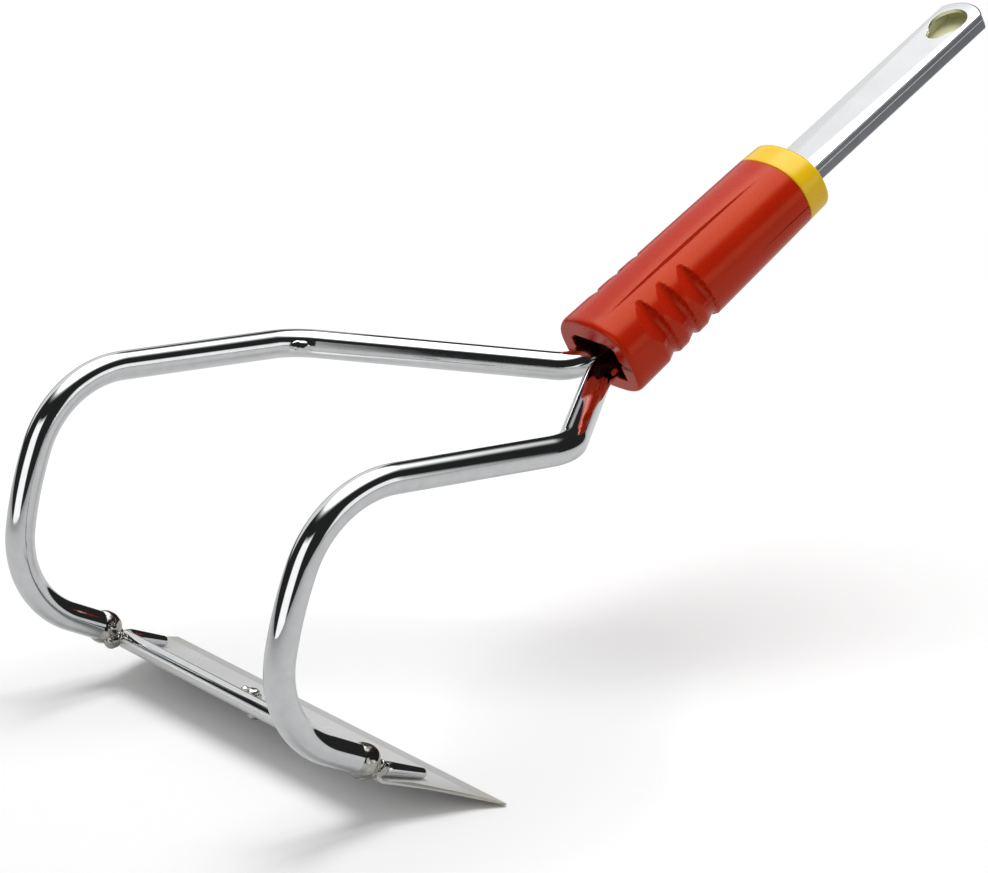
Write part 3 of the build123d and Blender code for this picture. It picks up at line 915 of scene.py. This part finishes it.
@dataclass
class Grip:
    """The two plastic shells and the end ring."""

    layout: Layout
    shop: Workshop
    red: bpy.types.Material
    # Near-black red for the faces inside the rods' pocket: painted shade, standing for the dark inside of the recess.
    pocket: bpy.types.Material
    yellow: bpy.types.Material
    shape: GripShape = field(default_factory=GripShape)
    seam: float = -1.5
    seam_gap: float = 0.3
    seam_rounding: float = 0.3
    columns: int = 130
    rows: int = 214
    pocket_depth: float = 4.0
    lead_in_depth: float = 1.0
    ring_length: float = 8.8
    ring_edge: float = 1.6
    ring_draft: float = 2.1
    ring_gap: float = 0.25
    ring_segments: int = 112
    tang_opening: tuple[float, float] = (8.1, 2.9)

    mouth: tuple = ((6.8, 5.4), (9.3, 3.9), (9.4, 1.6), (9.2, 0.0), (11.6, -1.0), (9.2, -2.8), (9.3, -7.3))
    slot: tuple = ((6.8, 4.4), (8.9, 3.0), (8.9, 0.8), (8.7, -0.6), (10.3, -1.4), (8.7, -3.0), (8.8, -7.0))

    def outline_reach(self, outline: tuple, angle: float) -> float:
        """Measures an opening's outline from the parting plane's middle.

        Args:
            outline: its right-hand corners from the top down; the left ones mirror them.
            angle: direction from the middle, counted from the left side over the top.

        Returns:
            Distance to the outline.
        """
        corners = [Vector((x, y - self.seam)) for x, y in outline]
        ring = corners + [Vector((-c.x, c.y)) for c in reversed(corners)]
        ray = Vector((math.cos(angle), math.sin(angle)))
        best = 0.0
        for first, second in zip(ring, ring[1:] + ring[:1]):
            side = second - first
            cross = ray.x * side.y - ray.y * side.x
            if abs(cross) < 1e-9:
                continue
            along = (first.x * side.y - first.y * side.x) / cross
            share = (first.x * ray.y - first.y * ray.x) / cross
            if along > 0 and -1e-6 <= share <= 1 + 1e-6:
                best = max(best, along)
        return best

    def turns(self, upper: bool) -> list[float]:
        """Lists the angles of the columns, close together at the facet's edges and at the seam.

        Args:
            upper: whether they are the upper shell's.

        Returns:
            Angles from the right-hand seam over to the left-hand one.
        """
        shape = self.shape
        gap = self.seam_gap / 2
        height = (self.seam + gap if upper else -self.seam + gap)
        lowest = math.copysign(abs(height / shape.half_height) ** (shape.squareness / 2), height)
        start, end = math.asin(lowest), math.pi - math.asin(lowest)
        even = [start + (end - start) * (n / self.columns) for n in range(self.columns + 1)]
        near_seam = [start + step * 0.006 for step in (1, 3, 6)]
        even += near_seam + [math.pi - turn for turn in near_seam]
        if upper:
            for edge in (0.02, 0.1, 0.18, 0.26, 0.34):
                across = (shape.facet_half_width - edge) / shape.half_width
                turn = math.acos(across ** (shape.squareness / 2))
                even += [turn, math.pi - turn]
        return sorted(even) if upper else [-turn for turn in sorted(even)]

    def shell_rows(self) -> list[tuple[str, float]]:
        """Lists the rows of a shell from the pocket's floor, out over the face and back to the ring."""
        shape = self.shape
        pocket = [("slot", self.pocket_depth), ("slot", (self.pocket_depth + self.lead_in_depth) / 2)]
        lead_in = [("lead", share) for share in (0.0, 0.34, 0.67, 1.0)]
        face = [("face", share) for share in (0.3, 0.65, 0.9)]
        nose = [shape.nose_depth * (1 - math.cos(math.radians(9 * step))) for step in range(11)]
        body = [
            shape.nose_depth + (shape.length - shape.nose_depth) * (n / self.rows)
            for n in range(1, self.rows + 1)
        ]
        skin = [("skin", back) for back in nose + body]
        return [("floor", 0.0)] + pocket + lead_in + face + skin + [("rear", 0.0)]

    def shell_point(self, kind: str, value: float, turn: float, rim: Callable) -> Vector:
        """Places one point of a shell in the handle frame.

        Args:
            kind: the row's kind.
            value: the row's distance or share.
            turn: angle of the column.
            rim: gives left and up of the skin at an angle and a distance.

        Returns:
            The point.
        """
        shape = self.shape
        if kind == "floor":
            return Vector((0, self.seam, self.pocket_depth))
        if kind == "rear":
            return Vector((0, self.seam, shape.length))
        if kind == "skin":
            left, up = rim(turn, value)
            return Vector((-left, up, value))
        left, up = rim(turn, 0.0)
        angle = math.atan2(up - self.seam, left)
        reach = math.hypot(left, up - self.seam)
        slot = self.outline_reach(self.slot, angle)
        mouth = self.outline_reach(self.mouth, angle)
        if kind == "slot":
            distance, back = slot, value
        elif kind == "lead":
            distance = slot + (mouth - slot) * value
            back = self.lead_in_depth * (1 - value)
        else:
            distance, back = mouth + (reach - mouth) * value, 0.0
        return Vector((-distance * math.cos(angle), self.seam + distance * math.sin(angle), back))

    def build_shell(self, upper: bool) -> None:
        """Builds one shell as a grid bent round its half of the grip.

        Args:
            upper: whether it is the upper shell.
        """
        rows = self.shell_rows()
        turns = self.turns(upper)
        mesh = bmesh.new()
        bmesh.ops.create_grid(mesh, x_segments=len(turns) - 1, y_segments=len(rows) - 1, size=1.0)
        gap = self.seam_gap / 2 if upper else -self.seam_gap / 2
        for point in mesh.verts:
            column = round((point.co.x + 1) / 2 * (len(turns) - 1))
            kind, value = rows[round((point.co.y + 1) / 2 * (len(rows) - 1))]
            point.co = self.shell_point(kind, value, turns[column], self.shape.skin)
            if column in (0, len(turns) - 1) or kind in ("floor", "rear"):
                point.co.y = self.seam + gap
        bmesh.ops.remove_doubles(mesh, verts=mesh.verts, dist=1e-4)
        parting = [edge for edge in mesh.edges if edge.is_boundary]
        bmesh.ops.triangle_fill(mesh, edges=parting, use_beauty=True)
        # Faces inside the pocket take the second material, a near-black red: painted shade for the dark recess.
        for face in mesh.faces:
            place = face.calc_center_median()
            if 0.4 < place.z < self.pocket_depth + 0.2 and abs(place.x) < 10.6 and abs(place.y) < 8:
                face.material_index = 1
        node = ("upper" if upper else "lower") + "_grip_shell"
        piece = self.shop.store(
            mesh, node + "_moulding", self.layout.handle, self.red, (node,), "grip", edge_mm=self.seam_rounding
        )
        piece.data.materials.append(self.pocket)

    def ring_row(self, mesh: bmesh.types.BMesh, rim: list, back: float, inset: float,
                 opening: bool = False) -> list:
        """Adds one row of the ring, on the grip's section or on the tang's opening.

        Args:
            mesh: the ring's mesh.
            rim: edges of the row before.
            back: distance from the front face.
            inset: how far the section is drawn in.
            opening: whether the row follows the tang's opening.

        Returns:
            The new row's edges.
        """
        grown = bmesh.ops.extrude_edge_only(mesh, edges=rim)["geom"]
        points = [item for item in grown if isinstance(item, bmesh.types.BMVert)]
        self.place_ring(mesh, points, back, inset, opening)
        return [
            item for item in grown
            if isinstance(item, bmesh.types.BMEdge) and all(v in points for v in item.verts)
        ]

    def place_ring(self, mesh: bmesh.types.BMesh, points: list, back: float, inset: float,
                   opening: bool) -> None:
        """Moves a row's points onto the section or the opening, by the angle that each one keeps."""
        angle = mesh.verts.layers.float["turn"]
        for point in points:
            turn = point[angle]
            if opening:
                half_width, half_height = self.tang_opening
                share = 1 / max(abs(math.cos(turn)) / half_width, abs(math.sin(turn)) / half_height)
                point.co = Vector((share * math.cos(turn), share * math.sin(turn), back))
            else:
                left, up = self.shape.section(turn, self.shape.length, inset)
                point.co = Vector((left, up, back))

    def build_ring(self) -> None:
        """Builds the end ring from a circle drawn onto the section, row by row."""
        shape = self.shape
        mesh = bmesh.new()
        bmesh.ops.create_circle(mesh, cap_ends=False, segments=self.ring_segments, radius=shape.half_width)
        rim = list(mesh.edges)
        angle = mesh.verts.layers.float.new("turn")
        for point in mesh.verts:
            point[angle] = math.atan2(point.co.y, point.co.x)
        start = shape.length + self.ring_gap
        self.place_ring(mesh, list(mesh.verts), start, 2.2, False)
        bmesh.ops.contextual_create(mesh, geom=rim)
        draft = math.tan(math.radians(self.ring_draft))
        rim = self.ring_row(mesh, rim, start, 0.35)
        for angle in (30, 60, 90):
            lift = 0.35 * (1 - math.sin(math.radians(angle)))
            rim = self.ring_row(mesh, rim, start + 0.35 * (1 - math.cos(math.radians(angle))), lift)
        straight = self.ring_length - self.ring_edge
        for share in (0.25, 0.5, 0.75, 1.0):
            rim = self.ring_row(mesh, rim, shape.length + straight * share, straight * share * draft)
        for angle in range(10, 91, 10):
            inset = straight * draft + self.ring_edge * (1 - math.cos(math.radians(angle)))
            back = shape.length + straight + self.ring_edge * math.sin(math.radians(angle))
            rim = self.ring_row(mesh, rim, back, inset)
        end = shape.length + self.ring_length
        for inset in (2.4, 3.4):
            rim = self.ring_row(mesh, rim, end, straight * draft + inset)
        for depth in (0.0, 0.3, 1.5, 3.0):
            rim = self.ring_row(mesh, rim, end - depth, 0.0, opening=True)
        bmesh.ops.contextual_create(mesh, geom=rim)
        self.shop.store(mesh, "end_ring_moulding", self.layout.handle, self.yellow, ("end_ring",), "ring", edge_mm=0.12)

    def build(self) -> None:
        """Builds both shells and the ring."""
        self.build_shell(upper=True)
        self.build_shell(upper=False)
        self.build_ring()


@dataclass
class Tang:
    """The tang's two sheet channels, with the roundings of their folds."""

    layout: Layout
    shop: Workshop
    finish: bpy.types.Material
    # Pale olive-beige for the faces inside the channel: painted light, standing for the light seen inside the keyhole.
    inner: bpy.types.Material
    # Darker grey for the faces on the channel's outer sides: painted shade, the sides being darker by how the light
    # falls.
    side: bpy.types.Material
    half_width: float = 7.95
    half_thickness: float = 2.75
    round_end: float = 160.15
    end_centre: float = 153.2
    end_radius: float = 10.6
    fold_radius: float = 0.7

    def fold_edges(self, mesh: bmesh.types.BMesh, height: float) -> list[bmesh.types.BMEdge]:
        """Finds the outer edges of a channel's folds.

        Args:
            mesh: the channel in the handle frame.
            height: height of its flat side.

        Returns:
            The edges along its sides and round its end.
        """
        def outer(point: bmesh.types.BMVert) -> bool:
            """Tells whether a point lies on the outer outline of the flat side."""
            rim = abs(point.co.x) > self.half_width - 0.02 or point.co.z > self.round_end
            return rim and abs(point.co.y - height) < 0.02
        return [
            edge for edge in mesh.edges
            if all(outer(v) for v in edge.verts) and edge.calc_face_angle(0.0) > math.radians(60)
        ]

    def build_channel(self, half: str, height: float) -> None:
        """Rounds the folds of one channel's own shape.

        Args:
            half: upper or lower.
            height: height of its flat side in the handle frame.
        """
        node = half + "_tang_channel"
        mesh = bmesh.new()
        mesh.from_mesh(frame["nodes"][node].data)
        back = (self.shop.to_row @ self.layout.handle).inverted()
        bmesh.ops.transform(mesh, matrix=back, verts=mesh.verts)
        bmesh.ops.remove_doubles(mesh, verts=mesh.verts, dist=1e-3)
        bmesh.ops.dissolve_limit(mesh, angle_limit=math.radians(1), verts=mesh.verts, edges=mesh.edges)
        bmesh.ops.bevel(
            mesh, geom=self.fold_edges(mesh, height), offset=self.fold_radius, offset_type="OFFSET",
            segments=5, profile=0.5, affect="EDGES", material=-1,
        )
        bmesh.ops.triangulate(mesh, faces=mesh.faces)
        # Faces inside the channel take a pale olive-beige: painted light, standing for the light seen through the
        # keyhole.
        for face in mesh.faces:
            place = face.calc_center_median()
            sheet = self.layout.tang_sheet - 0.05
            rim = self.end_centre + math.sqrt(self.end_radius ** 2 - place.x ** 2)
            inside = abs(place.x) < self.half_width - sheet and place.z < rim - sheet
            if inside and abs(place.y) < self.half_thickness - sheet:
                face.material_index = 1
            # Faces on the outer sides take a darker grey: painted shade, the sides darker by how the light falls.
            elif abs(place.x) > self.half_width - 0.05:
                face.material_index = 2
        piece = self.shop.store(
            mesh, node + "_sheet", self.layout.handle, self.finish, (node,), "tang", edge_mm=0.08
        )
        piece.data.materials.append(self.inner)
        piece.data.materials.append(self.side)

    def build(self) -> None:
        """Builds both channels."""
        self.build_channel("upper", self.half_thickness)
        self.build_channel("lower", -self.half_thickness)


@dataclass(frozen=True)
class Panel:
    """One bright panel of the mirror studio, in degrees from the camera's side and above the horizon."""

    turn: tuple[float, float]
    rise: tuple[float, float]
    level: float


@dataclass
class Studio:
    """A white floor, a soft key light from the camera's side, and the room that the chrome reflects."""

    azimuth: float = 38.354
    elevation: float = 17.943
    eye: tuple[float, float, float] = (619.77, 744.03, 376.0)
    lens: float = 132.5
    sensor: float = 36.0
    floor_reach: float = 2.5
    floor_grey: str = "#D2D2D2"
    fade: tuple[float, float] = (0.24, 0.5)
    dark: float = 0.02
    ceiling_tilt: float = 12.0
    ceiling_full: float = 27.0
    ceiling_end: float = 46.0
    ceiling_level: float = 3.0
    ceiling_falloff: float = 3.0
    panel_soft: float = 6.0
    level: float = 0.52
    lamp_watts: float = 7.4
    lamp_size: float = 0.8
    lamp_turn: float = 240.0
    lamp_rise: float = 80.0
    lamp_distance: float = 1.1

    panels: tuple = (
        Panel((14, 62), (-10, 38), 1.25), Panel((-76, -46), (-12, 19), 1.1), Panel((118, 179), (7, 62), 0.85),
    )

    def toward(self, turn: float, rise: float) -> Vector:
        """Returns the direction at an azimuth from +Y towards +X and a height, both in degrees."""
        flat = math.cos(math.radians(rise))
        around = math.radians(turn)
        return Vector((flat * math.sin(around), flat * math.cos(around), math.sin(math.radians(rise))))

    def window(self, tree: bpy.types.NodeTree, value: bpy.types.NodeSocket, low: float,
               high: float) -> bpy.types.NodeSocket:
        """Adds a soft window that is 1 between two values and 0 outside them."""
        soft = self.panel_soft / 2
        rise = remap(tree, value, low - soft, low + soft, 0.0, 1.0)
        fall = remap(tree, value, high - soft, high + soft, 1.0, 0.0)
        return add_node(tree, "ShaderNodeMath", {"operation": "MULTIPLY"}, {0: rise, 1: fall}).outputs[0]

    def mirror_room(self, tree: bpy.types.NodeTree) -> bpy.types.NodeSocket:
        """Draws what mirrors see: a soft ceiling light tilted to the back, and upright panels.

        Args:
            tree: the world's node tree.

        Returns:
            The room's brightness.
        """
        direction = add_node(tree, "ShaderNodeTexCoord").outputs["Generated"]
        back = self.toward(self.azimuth + 180, 90 - self.ceiling_tilt)
        cosine = add_node(
            tree, "ShaderNodeVectorMath", {"operation": "DOT_PRODUCT"}, {0: direction, 1: back}
        ).outputs["Value"]
        end, full = (math.cos(math.radians(a)) for a in (self.ceiling_end, self.ceiling_full))
        ramp = remap(tree, cosine, end, full, 0.0, 1.0)
        curve = add_node(tree, "ShaderNodeMath", {"operation": "POWER"}, {0: ramp, 1: self.ceiling_falloff})
        light = remap(tree, curve.outputs[0], 0.0, 1.0, self.dark, self.ceiling_level)
        turned = add_node(
            tree, "ShaderNodeVectorRotate", {"rotation_type": "Z_AXIS"},
            {"Vector": direction, "Angle": math.radians(self.azimuth)},
        )
        axes = add_node(tree, "ShaderNodeSeparateXYZ", sockets={"Vector": turned.outputs["Vector"]}).outputs
        around = add_node(tree, "ShaderNodeMath", {"operation": "ARCTAN2"}, {0: axes["X"], 1: axes["Y"]})
        above = add_node(tree, "ShaderNodeMath", {"operation": "ARCSINE"}, {0: axes["Z"]})
        turn, rise = (
            add_node(tree, "ShaderNodeMath", {"operation": "DEGREES"}, {0: angle.outputs[0]}).outputs[0]
            for angle in (around, above)
        )
        for panel in self.panels:
            across = self.window(tree, turn, *panel.turn)
            upright = self.window(tree, rise, *panel.rise)
            shape = add_node(tree, "ShaderNodeMath", {"operation": "MULTIPLY"}, {0: across, 1: upright})
            glow = add_node(
                tree, "ShaderNodeMath", {"operation": "MULTIPLY"}, {0: shape.outputs[0], 1: panel.level}
            )
            light = add_node(
                tree, "ShaderNodeMath", {"operation": "MAXIMUM"}, {0: light, 1: glow.outputs[0]}
            ).outputs[0]
        return light

    def build_world(self) -> None:
        """Lights the object plainly, and shows mirrors the room."""
        world = bpy.data.worlds.new("studio")
        world.use_nodes = True
        bpy.context.scene.world = world
        tree = world.node_tree
        tree.nodes.clear()
        ray = add_node(tree, "ShaderNodeLightPath").outputs
        mirrored = add_node(tree, "ShaderNodeMath", {"operation": "ADD"}, {
            0: ray["Is Glossy Ray"], 1: ray["Is Transmission Ray"]}).outputs[0]
        plain = add_node(
            tree, "ShaderNodeMix", {"data_type": "FLOAT"}, {0: mirrored, 2: self.level, 3: self.mirror_room(tree)}
        ).outputs[0]
        level = add_node(
            tree, "ShaderNodeMix", {"data_type": "FLOAT"}, {0: ray["Is Camera Ray"], 2: plain, 3: 1.0}
        ).outputs[0]
        shade = add_node(tree, "ShaderNodeBackground", sockets={"Color": (1, 1, 1, 1), "Strength": level})
        add_node(tree, "ShaderNodeOutputWorld", sockets={"Surface": shade.outputs["Background"]})
        world.cycles.sampling_method = "NONE"

    def build_floor(self) -> None:
        """Lays the floor: white to the camera, plain white beyond the shadows, light grey in the chrome."""
        mesh = bmesh.new()
        bmesh.ops.create_grid(mesh, x_segments=1, y_segments=1, size=self.floor_reach)
        data = bpy.data.meshes.new("floor")
        mesh.to_mesh(data)
        mesh.free()
        floor = bpy.data.objects.new("floor", data)
        bpy.context.scene.collection.objects.link(floor)
        floor.location.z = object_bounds()[0][2] - 0.0003
        material = bpy.data.materials.new("matt_floor")
        material.use_nodes = True
        tree = material.node_tree
        tree.nodes.clear()
        ray = add_node(tree, "ShaderNodeLightPath").outputs["Is Camera Ray"]
        colour = blend_colours(tree, ray, linear(self.floor_grey), (1, 1, 1, 1))
        shade = add_node(tree, "ShaderNodeBsdfDiffuse", sockets={"Color": colour})
        place = add_node(tree, "ShaderNodeTexCoord").outputs["Object"]
        reach = add_node(
            tree, "ShaderNodeVectorMath", {"operation": "LENGTH"}, {0: place}
        ).outputs["Value"]
        far = remap(tree, reach, *self.fade, 0.0, 1.0)
        seen = add_node(tree, "ShaderNodeMath", {"operation": "MULTIPLY"}, {0: far, 1: ray}).outputs[0]
        plain = add_node(tree, "ShaderNodeEmission", sockets={"Color": (1, 1, 1, 1), "Strength": 1.0})
        mixed = add_node(
            tree, "ShaderNodeMixShader",
            sockets={0: seen, 1: shade.outputs["BSDF"], 2: plain.outputs["Emission"]},
        )
        add_node(tree, "ShaderNodeOutputMaterial", sockets={"Surface": mixed.outputs["Shader"]})
        data.materials.append(material)
        floor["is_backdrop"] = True

    def build_lamp(self) -> None:
        """Hangs the soft key lamp high on the camera's side."""
        lamp = bpy.data.lights.new("softbox", "AREA")
        lamp.energy = self.lamp_watts
        lamp.shape = "DISK"
        lamp.size = self.lamp_size
        holder = bpy.data.objects.new("softbox", lamp)
        aim = self.toward(self.lamp_turn, self.lamp_rise)
        holder.location = aim * self.lamp_distance
        holder.rotation_euler = aim.to_track_quat("Z", "Y").to_euler()
        holder.visible_glossy = False
        bpy.context.scene.collection.objects.link(holder)

    def build_camera(self) -> None:
        """Puts the camera where the photograph was taken from."""
        turn, rise = math.radians(self.azimuth), math.radians(self.elevation)
        view = Vector((-math.cos(rise) * math.sin(turn), -math.cos(rise) * math.cos(turn), -math.sin(rise)))
        camera = bpy.data.cameras.new("camera")
        camera.lens = self.lens
        camera.sensor_fit = "HORIZONTAL"
        camera.sensor_width = self.sensor
        camera.clip_start = 0.01
        holder = bpy.data.objects.new("camera", camera)
        holder.location = Vector(self.eye) * MM
        holder.rotation_euler = view.to_track_quat("-Z", "Y").to_euler()
        bpy.context.scene.collection.objects.link(holder)
        bpy.context.scene.camera = holder

    def build(self) -> None:
        """Builds the whole studio."""
        self.build_world()
        self.build_floor()
        self.build_lamp()
        self.build_camera()
        bpy.context.scene.view_settings.view_transform = "Standard"


def dress_nodes(finishes: dict[str, bpy.types.Material]) -> None:
    """Gives the CAD nodes that stay in view their finishes.

    Args:
        finishes: node name with its material.
    """
    for node, material in finishes.items():
        data = frame["nodes"][node].data
        data.materials.clear()
        data.materials.append(material)
        log.info("%s: CAD solid, finish %s", node, material.name)


def main() -> None:
    """Builds the object around its frame, piece by piece, and the studio."""
    logging.basicConfig(level=logging.INFO, format="%(name)s %(message)s")
    layout = Layout()
    shop = Workshop(layout.to_row())
    chrome = BrightChrome().build()
    weld = WeldMetal().build()
    red = MouldedPlastic("red_moulded_plastic", "#BE2004", "#B21A03", gloss_tint="#FFC890").build()
    # Near-black red for the inside of the pocket: painted shade, standing for the dark recess.
    pocket = MouldedPlastic("red_plastic_painted_pocket_shade", "#3A0502", "#2C0301", 0.5, gloss=0.1).build()
    yellow = MouldedPlastic("yellow_moulded_plastic", "#F5C900", "#EEBF00", 0.22).build()
    tang = PlatedSheet("bright_zinc_sheet", "#ECEEEF", "#E0E2E3", 0.16, mark_mm=9.0).build()
    # Darker grey zinc for the tang's outer sides: painted shade, a shaded copy of the bright zinc.
    side = PlatedSheet("zinc_side_painted_shade", "#94969B", "#808287", 0.3).build()
    # Pale olive-beige, nearly non-metallic, for the channel's inside: painted light, standing for the light seen
    # through the keyhole.
    inner = PlatedSheet("zinc_inside_painted_light", "#EAE8C2", "#C9C79A", 0.45, 0.6, 4.0, metal=0.1).build()
    screw = PlatedSheet("zinc_screw", "#BFC2C4", "#A4A7AA", 0.3, 0.4, 2.0, (1, 1, 1)).build()
    bow = Bow(layout, shop, chrome)
    bow.build()
    sheet = GroundSheet(layout, shop.to_row).build()
    blade = Blade(layout, shop, sheet, chrome, bow.foot.y)
    blade.build_sheet()
    blade.build_rod()
    Welds(layout, shop, bow, weld, chrome).build()
    Grip(layout, shop, red, pocket, yellow).build()
    Tang(layout, shop, tang, inner, side).build()
    dress_nodes({
        "left_seam_weld": tang, "right_seam_weld": tang, "front_tang_weld": weld, "rear_tang_weld": weld,
        "shell_screws": screw,
    })
    Studio().build()


if __name__ == "__main__":
    main()
